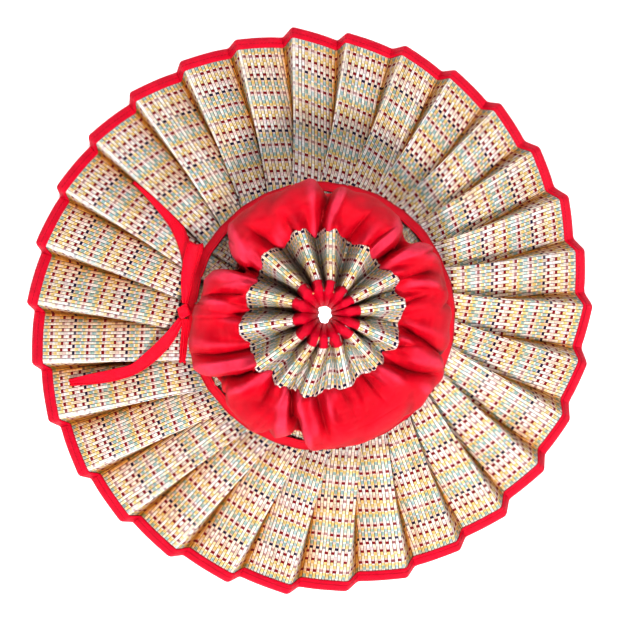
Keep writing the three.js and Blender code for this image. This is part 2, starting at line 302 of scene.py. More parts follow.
class Paint:
    """Builds the nodes of one material."""

    def __init__(self, name):
        self.material = bpy.data.materials.new(name)
        self.material.use_nodes = True
        self.tree = self.material.node_tree
        self.tree.nodes.clear()

    def node(self, kind, settings=None, sockets=None):
        """A node of a kind, with its settings set first, and then its sockets' values or links."""
        made = self.tree.nodes.new(kind)
        for name, value in (settings or {}).items():
            if name == "stops":
                self._stops(made.color_ramp, value)
            else:
                setattr(made, name, value)
        for name, value in (sockets or {}).items():
            if isinstance(value, Number):
                self.tree.links.new(value.socket, made.inputs[name])
            else:
                made.inputs[name].default_value = value
        return made

    @staticmethod
    def _stops(ramp, stops):
        ramp.interpolation = "CONSTANT"
        while len(ramp.elements) < len(stops):
            ramp.elements.new(1.0)
        for element, (place, colour, plain) in zip(ramp.elements, stops):
            element.position = place
            element.color = (*colour, plain)

    def out(self, node, name=0):
        return Number(self, node.outputs[name])

    def cloth(self):
        """The piece's cloth coordinates, in metres, across and down, and as one vector."""
        where = self.out(self.node("ShaderNodeUVMap", {"uv_map": "cloth"}))
        split = self.node("ShaderNodeSeparateXYZ", None, {0: where})
        return self.out(split, 0), self.out(split, 1), where

    def valley(self):
        """The weight of painted light at a point: above 0 for painted shade in a fold, and below 0
        for a painted highlight on a ridge or a crest.
        """
        return self.out(self.node("ShaderNodeAttribute", {"attribute_name": "valley"}), 2)

    def place(self):
        """Object coordinates."""
        return self.out(self.node("ShaderNodeTexCoord"), "Object")

    def vector(self, x, y, z=0.0):
        return self.out(self.node("ShaderNodeCombineXYZ", None, {0: x, 1: y, 2: z}))

    def noise(self, where, scale, detail=2.0, roughness=0.5):
        sockets = {"Vector": where, "Scale": scale, "Detail": detail, "Roughness": roughness}
        return self.out(self.node("ShaderNodeTexNoise", None, sockets))

    def chance(self, number):
        """A random value from 0 to 1 for each whole number."""
        return self.out(self.node("ShaderNodeTexWhiteNoise", {"noise_dimensions": "1D"}, {"W": number}))

    def bands(self, share, stops):
        """Flat bands of colour along a share from 0 to 1, and whether each band is plain."""
        ramp = self.node("ShaderNodeValToRGB", {"stops": stops}, {0: share})
        return self.out(ramp), self.out(ramp, 1)

    def mix(self, share, first, second, blend="MIX"):
        """A colour between two colours, each a node's colour or red, green and blue."""
        first, second = (c if isinstance(c, Number) else (*c, 1) for c in (first, second))
        settings = {"data_type": "RGBA", "blend_type": blend}
        return self.out(self.node("ShaderNodeMix", settings, {0: share, 6: first, 7: second}), 2)

    def tint(self, share, colour, over):
        """A colour multiplied by another, by a share."""
        return self.mix(share, colour, over, "MULTIPLY")

    def bump(self, height, distance):
        return self.out(self.node("ShaderNodeBump", None, {"Height": height, "Distance": distance}))

    def finish(self, **sockets):
        """Ends the material in one shader, and returns it."""
        sockets = {name.replace("_", " "): value for name, value in sockets.items()}
        shader = self.node("ShaderNodeBsdfPrincipled", None, sockets)
        self.node("ShaderNodeOutputMaterial", None, {0: self.out(shader)})
        return self.material


# Colours that the straw and the cotton are tinted with, among them painted shade for the folds
# and a painted highlight for the cotton's crests.
BLUE_HUE = from_srgb(196, 210, 222)
GOLD_HUE = from_srgb(240, 218, 164)
FIBRE = from_srgb(180, 150, 100)
SUNNED = from_srgb(236, 206, 140)
DEEPEST_FOLD_SHADE = from_srgb(150, 126, 108)
SPLIT = from_srgb(134, 112, 92)
NOTCH = from_srgb(160, 120, 92)
BRIM_FOLD_SHADE = from_srgb(206, 150, 74)
TOP_FOLD_SHADE = from_srgb(128, 112, 104)
COTTON_SHADE_AND_HIGHLIGHT = (from_srgb(150, 0, 14), from_srgb(250, 84, 118))
SLUB = (0.90, 0.03, 0.10)

WEFTS = 16          # weft threads in one repeat of the straw's weave
THREAD = 0.00045    # pitch of the red cloth's threads
STITCH = 0.0028     # length of a stitch
BUMP = 0.001        # height that a value of 1 stands for in the red cloth's relief


def straw_bands(colours):
    """The colours shown along an even reed and along an odd one in one repeat of the weave, as (share
    of the repeat, colour, 1 for a plain row and 0 for a dark one). The dark rows pass over only one
    kind of reed."""
    names = ("cream", "white", "pink", "teal", "yellow", "red", "navy")
    cream, white, pink, teal, yellow, red, navy = (tuple(getattr(colours, name)) for name in names)
    even = (
        (0, navy), (0.046, pink), (0.075, teal), (0.150, white), (0.175, yellow), (0.235, white),
        (0.264, red), (0.312, pink), (0.345, teal), (0.425, cream), (0.460, yellow), (0.530, white),
        (0.554, red), (0.602, pink), (0.64, yellow), (0.70, white), (0.75, cream), (0.82, pink),
        (0.88, white),
    )
    odd = (
        (0, cream), (0.05, yellow), (0.12, pink), (0.16, teal), (0.21, cream), (0.26, pink),
        (0.32, white), (0.43, teal), (0.50, yellow), (0.55, pink), (0.60, white), (0.66, cream),
        (0.70, yellow), (0.764, red), (0.812, pink), (0.84, white), (0.916, red), (0.962, pink),
    )
    plain = {cream: 1.0, white: 1.0, pink: 1.0, teal: 1.0, yellow: 1.0, red: 0.0, navy: 0.0}
    return [[(place, colour, plain[colour]) for place, colour in reed] for reed in (even, odd)]


def straw_material(name, colours, first_row, fold_shade):
    """Woven straw: reeds side by side, crossed by rows of coloured weft that show over every other
    reed. first_row is how far a navy row lies from the strip's edge, and fold_shade is the painted
    shade of the straw deep in its folds."""
    paint = Paint(name)
    across, down, where = paint.cloth()
    drift = paint.noise(where, 45.0, 1.0) - 0.5
    reeds = across / colours.reed + drift * 0.5
    reed = reeds.floor()
    side = reeds - reed - 0.5
    odd = reed % 2
    luck = paint.chance(reed)
    shift = (luck - 0.5) * 0.014 + (paint.noise(where, 30.0, 1.0) - 0.5) * 0.03
    repeat = ((down - first_row) / colours.repeat + shift).fraction()
    bands = (paint.bands(repeat, stops) for stops in straw_bands(colours))
    (even_colour, even_plain), (odd_colour, odd_plain) = bands
    colour = paint.mix(odd, even_colour, odd_colour)
    plain = even_plain * (1 - odd) + odd_plain * odd

    # Each reed has its own tone and each of its halves its own hue, fibres run along it, and it is
    # golder in patches.
    tone = paint.chance(reed + 0.37)
    hue = paint.chance((reeds * 2).floor() + 0.61)
    colour = paint.tint(hue.rise(0.60, 0.90) * plain * 0.45, colour, BLUE_HUE)
    colour = paint.tint((1 - hue).rise(0.60, 0.90) * plain * 0.35, colour, GOLD_HUE)
    colour = paint.tint(tone.rise(0.5, 1.0) * 0.20, colour, colours.yellow)
    colour = paint.mix((1 - tone).rise(0.72, 0.95) * 0.30, colour, colours.white)
    fibres = paint.noise(paint.vector(across * 2600, down * 160, luck * 9), 1.0, 2.0, 0.6)
    colour = paint.tint(fibres.rise(0.35, 0.75) * 0.20, colour, FIBRE)
    patches = paint.noise(paint.vector(across * 60, down * 22), 1.0)
    colour = paint.tint(patches.rise(0.48, 0.7) * 0.35, colour, SUNNED)

    # Painted shade: the folds are tinted golden brown, and darker still at their deepest. A reed is
    # split down its middle, has painted shade in the gaps beside its neighbours and where a weft
    # thread crosses, and has a painted highlight along the brim's ridges.
    valley = paint.valley()
    # Painted golden-brown shade in the folds, and painted dusky shade at their deepest.
    colour = paint.tint(valley.at_least(0.0) * colours.fold_shade_share, colour, fold_shade)
    colour = paint.tint((valley - 1).at_least(0.0) * 0.9, colour, DEEPEST_FOLD_SHADE)
    edge = abs(side) * 2
    gap = edge.rise(0.64, 0.98) * plain + edge.rise(0.84, 1.0) * (1 - plain)
    split = (1 - edge.rise(0.04, 0.30)) * plain * (0.16 + tone * 0.40)
    colour = paint.tint(split, colour, SPLIT)
    cell = (repeat * WEFTS + odd * 0.5).fraction()
    notch = (abs(cell - 0.5) * 2).rise(0.66, 0.96)
    # Painted shade at the dips where a weft thread crosses a reed.
    colour = paint.tint(notch * plain * 0.22, colour, NOTCH)
    # Painted shade in the gaps between the reeds.
    colour = paint.tint(gap * 0.92, colour, colours.gap)
    # Painted highlight along the edges of the brim's ridges.
    colour = paint.mix((0 - valley).at_least(0.0) * 0.80, colour, colours.white)

    # Reeds stand up round, and the weft's fine rows cross over and under them.
    body = (1 - (edge * 0.97) ** 2).at_least(0.0) ** 0.5
    height = body - notch * body * 0.25 - split * 0.7 + fibres * 0.22
    return paint.finish(
        Base_Color=colour, Roughness=0.62 + fibres * 0.15, Specular_IOR_Level=0.25,
        Normal=paint.bump(height, colours.relief))


def cotton_material(name, colour, wrinkle, hem=None, folds=None, shine=0.25, rough=0.34):
    """Dyed cotton: a fine plain weave, soft rumples wrinkle metres high and uneven dye. hem is the
    distance from the piece's two long edges at which a line of stitches runs, and the piece's width.
    folds is the painted shade deep in the cloth's creases and the painted pink highlight on its crests."""
    paint = Paint(name)
    across, down, _ = paint.cloth()
    place = paint.place()
    warp = (across * (2 * math.pi / THREAD)).sine()
    weft = (down * (2 * math.pi / THREAD)).sine()
    uneven = paint.noise(place, 90.0, 3.0, 0.6)
    slub = paint.noise(paint.vector(across * 900, down * 120), 1.0, 2.0, 0.6)
    dull, bright = (tuple(min(1, value * much) for value in colour) for much in (0.88, 1.07))
    shade = paint.mix(uneven.rise(0.3, 0.75), dull, bright)
    shade = paint.mix(slub.rise(0.5, 0.8) * 0.14, shade, SLUB)
    if folds is not None:
        # Painted shade deep in the creases and a painted pink highlight on the crests.
        painted_light = paint.valley()
        shade = paint.mix(painted_light.at_least(0.0) * 0.85, shade, folds[0])
        shade = paint.mix((0 - painted_light).at_least(0.0) * (0.15 + uneven * 0.7), shade, folds[1])
    rumple = paint.noise(place, 150.0, 3.0, 0.55)
    height = rumple * (wrinkle / BUMP) + (warp * weft) * 0.05 + slub * 0.10
    if hem is not None:
        inset, width = hem
        off = (abs(down - width / 2) - (width / 2 - inset)) / 0.0004
        line = 1 - abs(off).rise(0.4, 1.3)
        stitch = line * abs((across / STITCH).fraction() - 0.5).rise(0.1, 0.2)
        shade = paint.mix(stitch * 0.45, shade, tuple(value * 0.35 for value in colour))
        height = height - line * 0.25 + stitch * 0.2
    return paint.finish(
        Base_Color=shade, Roughness=rough + slub * 0.12, Specular_IOR_Level=shine,
        Normal=paint.bump(height, BUMP))


# ------------------------------------------------------------------------------------ properties

def metres(name, default, description):
    """A length."""
    return FloatProperty(name=name, description=description, default=default, unit="LENGTH")


def factor(name, default, description):
    """A share from 0 to 1."""
    return FloatProperty(name=name, description=description, default=default, subtype="FACTOR")


def dyed(name, default, description):
    """A colour, whose default is given as an 8-bit screen colour."""
    default = from_srgb(*default)
    return FloatVectorProperty(name=name, description=description, default=default, subtype="COLOR")


class HatStraw(bpy.types.PropertyGroup):
    """The woven straw."""

    reed: metres("Reed pitch", 0.0025, "Distance between neighbouring reeds")
    repeat: metres("Repeat", 0.0413, "Length of one repeat of the coloured rows")
    relief: metres("Relief", 0.0007, "Height of a reed over the gap beside it")
    # Strength of the painted shade deep in a fold.
    fold_shade_share: factor("Fold tint", 1.0, "How strongly the straw is tinted deep in a fold")
    thickness: metres("Thickness", 0.0012, "Thickness of the woven straw")
    cream: dyed("Cream", (246, 236, 224), "Natural reeds")
    white: dyed("White", (253, 249, 245), "Bleached reeds")
    pink: dyed("Pink", (246, 223, 224), "Pale rows beside the dark ones")
    teal: dyed("Teal", (176, 208, 210), "Blue-green rows")
    yellow: dyed("Yellow", (246, 224, 160), "Yellow rows")
    red: dyed("Dark red", (134, 8, 28), "Dark red rows")
    navy: dyed("Navy", (34, 20, 62), "Navy rows")
    # Colour of the painted shade in the gaps between the reeds.
    gap: dyed("Gap", (112, 80, 66), "Tint between the reeds")


class HatBrim(bpy.types.PropertyGroup):
    """The pleated brim and crown wall, and the tape on the rim."""

    pleats: IntProperty(name="Pleats", description="Number of knife pleats", default=30)
    radius: metres("Rim radius", 0.2050, "Mean radius of the straw's outer edge")
    rim_height: metres("Rim height", 0.00645, "Height of the straw's middle at the rim")
    foot_radius: metres("Foot radius", 0.0955, "Radius at which the brim turns up into the crown")
    foot_height: metres("Foot height", 0.04315, "Height of that turn")
    wall_top: metres("Wall top", 0.0805, "Height of the straw wall's upper edge")
    crease: metres("Crease rounding", 0.0010, "Half the length over which a crease is rounded")
    valley_crease: metres("Valley rounding", 0.0026, "Half the length over which a valley is rounded")
    belly: metres("Belly", 0.0026, "How far a pleat's face bows out")
    tape: metres("Tape width", 0.0072, "Width of the rim's tape on each side")


class HatCrown(bpy.types.PropertyGroup):
    """The crown's gathered band, its pleated top disc and the petals."""

    seam_height: metres("Seam height", 0.1165, "Height of the top disc's outer edge")
    pleat: metres("Disc pleat", 0.0165, "Height of the disc's pleats at its outer edge")
    ridge: metres("Ridge width", 0.0084, "Width of a disc pleat's round ridge")
    rise: metres("Disc rise", 0.0090, "Rise of the disc's ridges towards the petals")
    petal_radius: metres("Petal radius", 0.0240, "Radius at which the petals begin")
    hole: metres("Hole radius", 0.0053, "Radius of the hole in the middle")
    bulge: factor("Bulge", 1.0, "Share of its full outline that the gathered band swells to")


class HatRed(bpy.types.PropertyGroup):
    """The red cotton, tape and ribbon."""

    cotton: dyed("Cotton", (212, 0, 40), "Colour of the crown's fabric")
    tape: dyed("Tape", (216, 0, 52), "Colour of the tapes")
    ribbon: dyed("Ribbon", (238, 0, 50), "Colour of the ribbon")
    tape_cloth: metres("Tape thickness", 0.0006, "Thickness of the tapes")
    ribbon_cloth: metres("Ribbon thickness", 0.0009, "Thickness of the tie's ribbon")


def material(name):
    """A shared material, made once. The straw's rows start at a set way from each strip's edge, and
    the tape and the ribbon have a line of stitches along both edges."""
    if name in bpy.data.materials:
        return bpy.data.materials[name]
    straw, red = bpy.context.scene.hat_straw, bpy.context.scene.hat_red
    if name == "brim straw":
        return straw_material(name, straw, 0.0310, BRIM_FOLD_SHADE)
    if name == "top straw":
        return straw_material(name, straw, 0.0015, TOP_FOLD_SHADE)
    if name == "crown cotton":
        return cotton_material(name, red.cotton, 0.0003, folds=COTTON_SHADE_AND_HIGHLIGHT, shine=0.22, rough=0.38)
    if name == "tape":
        return cotton_material(name, red.tape, 0.0009, hem=(0.0012, 0.0175))
    if name == "petal tape":
        return cotton_material(name, red.tape, 0.0010)
    return cotton_material(name, red.ribbon, 0.0012, hem=(0.0011, 0.0095))


# ------------------------------------------------------------------------------------- the brim

FIRST_PLEAT = 1.9                   # degrees
CROWDING = 3                        # degrees by which pleats crowd towards one side
CROWDED_SIDE = 138.4                # degrees, the side of the crowding
STEEP_SIDE = math.radians(330)      # on this side the pleats lie most open
TWISTED_SIDE = math.radians(220)    # on this side they turn most between the rim and the crown
FOLD_SHADE_SIDE = math.radians(188)     # on this side the painted shade in the folds is strongest
PROUD_PLEAT = 7                     # the strip's ends overlap in it
TURN_IN = 0.0058                    # radial size of the turn between brim and wall
TURN_UP = 0.006                     # height of that turn
WALL_LEAN = 0.006                   # inward lean of the wall over its height
ROUNDING = 0.004                    # half the length over which the brim, turn and wall meet
WALL_TRIM = 0.0042                  # how far short of the profile's end the straw stops
BRIM_SPAN = 0.112                   # about how wide the brim is from the rim to the turn
PLEAT_SIDES = (0.033, 0.012)        # lengths of a pleat's face and return along the strip
FACE_COLUMNS = 14
RETURN_COLUMNS = 7
BRIM_ROWS = 60


def pleat_angle(pleat, pleats):
    """The angle at which a brim pleat begins, in radians. Pleats crowd a little towards one side."""
    even = FIRST_PLEAT + pleat * 360 / pleats
    return np.radians(even - CROWDING * np.cos(np.radians(even - CROWDED_SIDE)))


def brim_profile(brim, down):
    """Centre, radius, height and the normal's tilt of the unpleated strip at distances down it from
    the rim: a straight brim, a turn and a leaning wall, each meeting rounded. The distances at which
    they meet come last."""
    foot = brim.foot_radius
    radius = np.array([brim.radius, foot, foot - TURN_IN, foot - TURN_IN - WALL_LEAN])
    height = np.array([brim.rim_height, brim.foot_height, brim.foot_height + TURN_UP, brim.wall_top])
    knots = np.concatenate([[0], np.cumsum(np.hypot(np.diff(radius), np.diff(height)))])
    knots[-1] += ROUNDING

    def along(values, down=down):
        def at(place):
            beyond_rim = np.minimum(place, 0) * (values[1] - values[0]) / knots[1]
            return np.interp(place, knots, values) + beyond_rim
        return sum(at(down + ROUNDING * step) for step in (-1, -0.5, 0, 0.5, 1)) / 5

    centres = np.stack([along(np.array([BRIM_CENTRE[i]] + [CROWN_CENTRE[i]] * 3)) for i in (0, 1)], -1)
    r, z = along(radius), along(height)
    further = down + 0.0005
    tilt = np.arctan2(along(height, further) - z, r - along(radius, further))
    return centres, r, z, tilt, knots


def wall_pull(angle):
    """How far the wall's upper edge is drawn in at the deepest gathers, by angle in radians."""
    return sum(
        depth * np.exp(-(turned(np.degrees(angle), centre) / width) ** 2)
        for centre, depth, width in ((150.5, 0.0180, 7.5), (41.5, 0.0055, 6), (259, 0.0020, 5)))


def brim_corners(brim, down):
    """Corners of the pleated strip at distances down it, (rows, valley and ridge in turn, 3), and the
    sheet's mean normals there. Each pleat's face rises from its valley to its ridge; the steep return
    from the ridge to the next valley shows at the rim and is folded under at the crown."""
    centres, radius, height, tilt, knots = brim_profile(brim, down)
    share = np.clip(down / knots[1], 0, 1)[:, None]
    wall = np.clip((down - knots[1]) / (knots[3] - knots[1]), 0, 1)[:, None]
    pleat = np.arange(brim.pleats)
    start, following = (pleat_angle(pleat + step, brim.pleats)[None] for step in (0, 1))
    twist, next_twist = (
        np.radians(2 + 1.2 * np.cos(angle - TWISTED_SIDE)) * share for angle in (start, following))
    luck = np.random.default_rng(7).uniform(-1, 1, (4, brim.pleats))
    proud = (pleat == PROUD_PLEAT).astype(float)
    side = np.cos(start - STEEP_SIDE)
    shown = np.radians(2.3 + 0.7 * side + 0.30 * luck[0]) * brim.radius
    back = shown * (1 - share) ** 1.8 - 0.009 * share ** 3 + 0.001 * luck[1] * share
    uneven = 1 + 0.04 * side + 0.10 * luck[2] + 0.25 * proud
    tall = (0.0088 + 0.0125 * share - 0.0150 * share ** 2) * uneven * (1 - 0.35 * wall)
    reach = (0.0014 + 0.0007 * luck[3] + 0.0016 * proud) * (1 - share)

    def in_turn(valleys, ridges):
        return np.stack([valleys, ridges], -1).reshape(len(down), -1)

    angle = in_turn(start + twist, following + next_twist - back / radius[:, None])
    lift = in_turn(-tall / 2, tall / 2 + 0.0008 * proud)
    lean = np.broadcast_to(tilt[:, None], angle.shape)
    normals = np.stack([np.sin(lean) * np.cos(angle), np.sin(lean) * np.sin(angle), np.cos(lean)], -1)
    centre = (centres[:, :1], centres[:, 1:])
    base = around(centre, angle, radius[:, None] + in_turn(-reach, reach), height[:, None])
    return base + normals * lift[..., None], normals


def brim_places(brim):
    """Where the brim's columns stand: a pleat's face is from one even number to the next odd one, and
    its return from there to the next even one. Columns crowd towards the creases."""
    def eased(count):
        even = np.arange(count) / count
        return 0.5 * (even + 0.5 - 0.5 * np.cos(even * math.pi))

    one = np.concatenate([eased(FACE_COLUMNS), 1 + eased(RETURN_COLUMNS)])
    return (2 * np.arange(brim.pleats)[:, None] + one).ravel()


def brim_painted_light(brim, down):
    """Weights of the painted light on the brim's points: painted shade up to 1 where a face nears its
    valley, more in the valley and on the return, and a painted highlight below 0 along the ridge's
    edge, strongest near the rim. The painted shade in the folds is strongest on the -X side."""
    places = brim_places(brim)
    place = places % 2
    angle = pleat_angle(places / 2, brim.pleats)
    side_share_of_shade = np.clip(0.45 + 0.55 * np.cos(angle - FOLD_SHADE_SIDE), 0.22, 1)
    on_face = side_share_of_shade * np.exp(-place / 0.22) + 0.8 * np.exp(-place / 0.04)
    depth = np.where(place < 1, on_face, (side_share_of_shade + 0.8) * smooth(1.2, 1.9, place))
    # Painted highlight along the ridge's edge, strongest near the rim and on the side opposite STEEP_SIDE.
    ridge_highlight = smooth(0.88, 0.97, place) * (1 - smooth(1.0, 1.10, place))
    ridge_highlight = ridge_highlight * (0.46 - 0.42 * np.cos(angle - STEEP_SIDE))
    down = down[:, None]
    return depth * (0.75 + 0.25 * smooth(0.0, 0.04, down)) - ridge_highlight * (1 - 0.75 * smooth(0.015, 0.090, down))


def brim_points(brim, down):
    """Points of the pleated brim and wall at distances down the strip. A face bows out between its
    creases, most of all near its valley."""
    places = brim_places(brim)
    side = np.cos(pleat_angle(places / 2, brim.pleats) - STEEP_SIDE)
    corners, normals = brim_corners(brim, down)
    in_valley = 0.5 + 0.5 * np.cos(math.pi * places)
    rounding = brim.crease * (1.0 + 0.3 * side) * (1 - in_valley) + brim.valley_crease * in_valley
    weights = fold_weights(places, np.tile(PLEAT_SIDES, brim.pleats), rounding)
    inner = np.clip(down / BRIM_SPAN, 0, 1)[:, None]
    share = np.clip(places % 2, 0, 1)
    bow = np.where(places % 2 < 1, 2.6 * share ** 0.75 * (1 - share) ** 1.15, 0) * (1.1 - 0.35 * side)
    wave = ripple(math.pi * places / brim.pleats, (5, 7, 11, 17, 23), 3)
    belly = bow * brim.belly * (1 - 0.6 * inner) + 0.0004 * wave * inner * (1 - inner) * 4
    points = fold(corners, normals, weights, belly)
    knots = brim_profile(brim, down)[4]
    x, y = points[..., 0] - CROWN_CENTRE[0], points[..., 1] - CROWN_CENTRE[1]
    up_wall = np.clip((down[:, None] - knots[1]) / (knots[3] - knots[1]), 0, 1)
    drawn_in = wall_pull(np.arctan2(y, x)) * up_wall / np.hypot(x, y)
    points[..., :2] -= drawn_in[..., None] * np.stack([x, y], -1)
    return points


# ------------------------------------------------------------------------------------- operators

class HAT_OT_stage(bpy.types.Operator):
    """Makes the camera, the pale floor and the soft studio lights"""

    bl_idname = "hat.stage"
    bl_label = "Stage"

    def execute(self, context):
        scene = context.scene
        camera = bpy.data.objects.new("Camera", bpy.data.cameras.new("Camera"))
        camera.data.sensor_width = 36
        camera.data.lens = 218.5
        camera.data.clip_end = 50
        camera.location = (0.0009, 0.0003, 2.8)
        scene.collection.objects.link(camera)
        scene.camera = camera

        # The floor glows brightest where it is seen through the hole in the crown.
        paint = Paint("pale floor")
        where = paint.node("ShaderNodeSeparateXYZ", None, {0: paint.place()})
        x, y = (paint.out(where, axis) - CROWN_CENTRE[axis] for axis in (0, 1))
        from_crown = (x ** 2 + y ** 2) ** 0.5
        glow = paint.mix(from_crown.rise(0.03, 0.06), (1, 1, 1), (0.26, 0.26, 0.26))
        pale = paint.finish(
            Base_Color=(0.86, 0.86, 0.86, 1), Roughness=0.9, Emission_Color=glow, Emission_Strength=1.8)
        ground = bpy.data.meshes.new("floor")
        corners = [(x, y, -0.0003) for x, y in ((-4, -4), (4, -4), (4, 4), (-4, 4))]
        ground.from_pydata(corners, [], [(0, 1, 2, 3)])
        ground.materials.append(pale)
        floor = bpy.data.objects.new("floor", ground)
        scene.collection.objects.link(floor)

        for name, place, size, power, tone in (
            ("key", (-0.05, -1.70, 2.55), 0.45, 94, (1.0, 0.99, 0.985)),
            ("fill", (0.30, 0.95, 3.2), 0.7, 64, (0.98, 0.985, 1.0)),
        ):
            light = bpy.data.objects.new(name, bpy.data.lights.new(name, "AREA"))
            light.data.size = size
            light.data.energy = power
            light.data.color = tone
            light.location = place
            x, y, z = np.array((0, 0, 0.04)) - np.array(place)
            light.rotation_euler = (math.atan2(math.hypot(x, y), -z), 0, math.atan2(-x, y))
            scene.collection.objects.link(light)
        world = bpy.data.worlds.new("studio")
        world.use_nodes = True
        background = world.node_tree.nodes["Background"]
        background.inputs["Color"].default_value = (1, 1, 1, 1)
        background.inputs["Strength"].default_value = 0.17
        scene.world = world
        scene.view_settings.view_transform = "Standard"
        scene.view_settings.gamma = 0.80
        scene.view_settings.exposure = 0.17
        return {"FINISHED"}


RIBBON_ROWS = 17


def ribbon_points(stops, headings, count, cup):
    """A flat ribbon along a spline. Each stop is x, y, z, half width and tilt in degrees. The width
    points along a level heading that turns evenly between two angles, leaned up by the tilt and made
    square to the run. cup bows the ribbon up along its edges, as a share of its half width, and where
    it narrows it gathers into small folds along its run."""
    line = spline(stops, count)
    run = np.gradient(line[:, :3], axis=0)
    run /= np.linalg.norm(run, axis=1, keepdims=True)
    heading = np.radians(np.linspace(*headings, count))
    tilt = np.radians(line[:, 4])
    width = np.stack([np.cos(heading) * np.cos(tilt), np.sin(heading) * np.cos(tilt), np.sin(tilt)], -1)
    width -= run * (width * run).sum(1, keepdims=True)
    width /= np.linalg.norm(width, axis=1, keepdims=True)
    up = np.cross(width, run)
    half = line[:, 3][:, None, None]
    share = np.linspace(-1, 1, RIBBON_ROWS)[None, :, None]
    gathered = np.clip(1 - half / 0.0042, 0, 1) * 0.0011
    bow = (share ** 2 - 0.5) * half * cup + np.cos(share * 2.6 * math.pi + 0.6) * gathered
    return line[:, None, :3] + width[:, None] * share * half + up[:, None] * bow, line[:, :3]


# The bow's ribbons: each stop is X, Y, Z and half width in millimetres, and tilt in degrees. The
# places are from the crown's -X side at the foot of its wall.
BOW_START = np.array([CROWN_CENTRE[0] - 0.093, CROWN_CENTRE[1], 0.04915])
TAIL_UPPER = (
    (-6.5, 9.2, 0.45, 2.6, -10), (-3.8, 20, 2.75, 3.2, -10), (-3, 32, 1.85, 3.9, -15),
    (-5, 45.5, -3.55, 4.3, -15), (-9, 58.5, -8.55, 4.6, -5), (-16, 71.2, -15.95, 4.6, 5),
    (-29, 86.3, -22.75, 4.1, 5), (-43.7, 99.5, -30.95, 2.2, 5),
)
TAIL_LOWER = (
    (-8.2, -2.4, 1.25, 2.4, -10), (-18.1, -16.7, -1.65, 4.2, -10), (-30.6, -29.2, -8.65, 4.7, -8),
    (-43.4, -38.6, -15.0, 4.1, 5), (-59.4, -43.6, -21.6, 4.4, 2), (-76.2, -46.6, -28.9, 3.9, 5),
    (-92, -49.2, -36.05, 2.2, 5),
)
LOOP_UPPER = (
    (-5.2, 8.9, 4.05, 1.9, 0), (-4.7, 15.5, 4.95, 2.5, 0), (-3.0, 26, 5.65, 3.7, 0),
    (0, 39, 6.05, 4.5, 0), (3.2, 49.4, 6.35, 4.6, 0), (2.6, 52.2, 8.45, 4.4, 0),
    (0.2, 49.4, 10.85, 4.7, 0), (-2.2, 39, 11.65, 4.7, 0), (-4.2, 26, 10.85, 4.2, 0),
    (-5.0, 15.5, 8.95, 3.0, 0), (-5.4, 9.2, 7.45, 2.0, 0),
)
LOOP_LOWER = (
    (-4.4, -2.2, 4.85, 2.2, 62), (-4.9, -10, 4.95, 3.0, 64), (-5.6, -19, 4.65, 3.4, 66),
    (-6.9, -30, 3.55, 3.3, 68), (-7.7, -33.2, 2.75, 3.0, 70), (-8.1, -30, 1.95, 3.3, 68),
    (-7.2, -19, 2.45, 3.4, 66), (-6.6, -10, 2.95, 3.0, 64), (-6.2, -2.2, 3.65, 2.2, 62),
)


def bow_ribbon(stops, headings, count, cup):
    """Points of one of the bow's ribbons (across, along, 3), its middle line and that line's length."""
    stops = np.array(stops, float)
    stops[:, :4] *= 0.001
    stops[:, :3] += BOW_START
    points, line = ribbon_points(stops, headings, count, cup)
    return points.transpose(1, 0, 2), line, float(np.linalg.norm(np.diff(line, axis=0), axis=1).sum())


class HAT_OT_tails(bpy.types.Operator):
    """Makes the bow's two free tails"""

    bl_idname = "hat.tails"
    bl_label = "Ribbon tails"

    def execute(self, context):
        for name, stops, headings, count in (
            ("tail_upper", TAIL_UPPER, (185, 227), 96), ("tail_lower", TAIL_LOWER, (145, 99), 88),
        ):
            points, line, long = bow_ribbon(stops, headings, count, cup=0.18)
            left, right = spread(points)
            tail = grid_mesh(
                "ribbon_" + name, points, left, right, material("ribbon"),
                context.scene.hat_red.ribbon_cloth, 0.0)
            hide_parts("tie_" + name)
        return {"FINISHED"}


def rim_tape_points(brim):
    """Points of the tape, a channel round the straw's edge. Each row is a place outward from the edge,
    moved along the straw's normal. The upper side puckers a little."""
    outward, raised = np.array([
        (-brim.tape, -0.0024), (-0.0064, -0.0028), (-0.0035, -0.0029), (-0.0010, -0.0028),
        (0.0005, -0.0022), (0.0012, -0.0010), (0.0011, 0.0002), (0.0004, 0.0011), (-0.0010, 0.0016),
        (-0.0035, 0.0017), (-0.0058, 0.0015), (-0.0068, 0.0013), (-brim.tape, 0.0007),
    ]).T
    inside = brim_points(brim, np.maximum(-outward, 0))
    near = brim_points(brim, np.array([0, 0.004]))
    normal = grid_normals(brim_points(brim, np.array([0, 0.007])))
    away = (near[0] - near[1]) / np.linalg.norm(near[0] - near[1], axis=1, keepdims=True)
    angle = np.arctan2(near[0][:, 1], near[0][:, 0])
    pucker = 0.00005 * ripple(angle, (61, 97, 131, 173, 211), 5) * np.abs(np.sin(3 * angle + 1))
    outward, raised = outward[:, None, None], raised[:, None, None]
    blend = np.clip(-outward / brim.tape, 0, 1)
    normals = normal[0] * (1 - blend) + normal[1] * blend
    lift = raised + pucker[None, :, None] * (raised > 0.001)
    return inside + away * np.maximum(outward, 0) + normals * lift


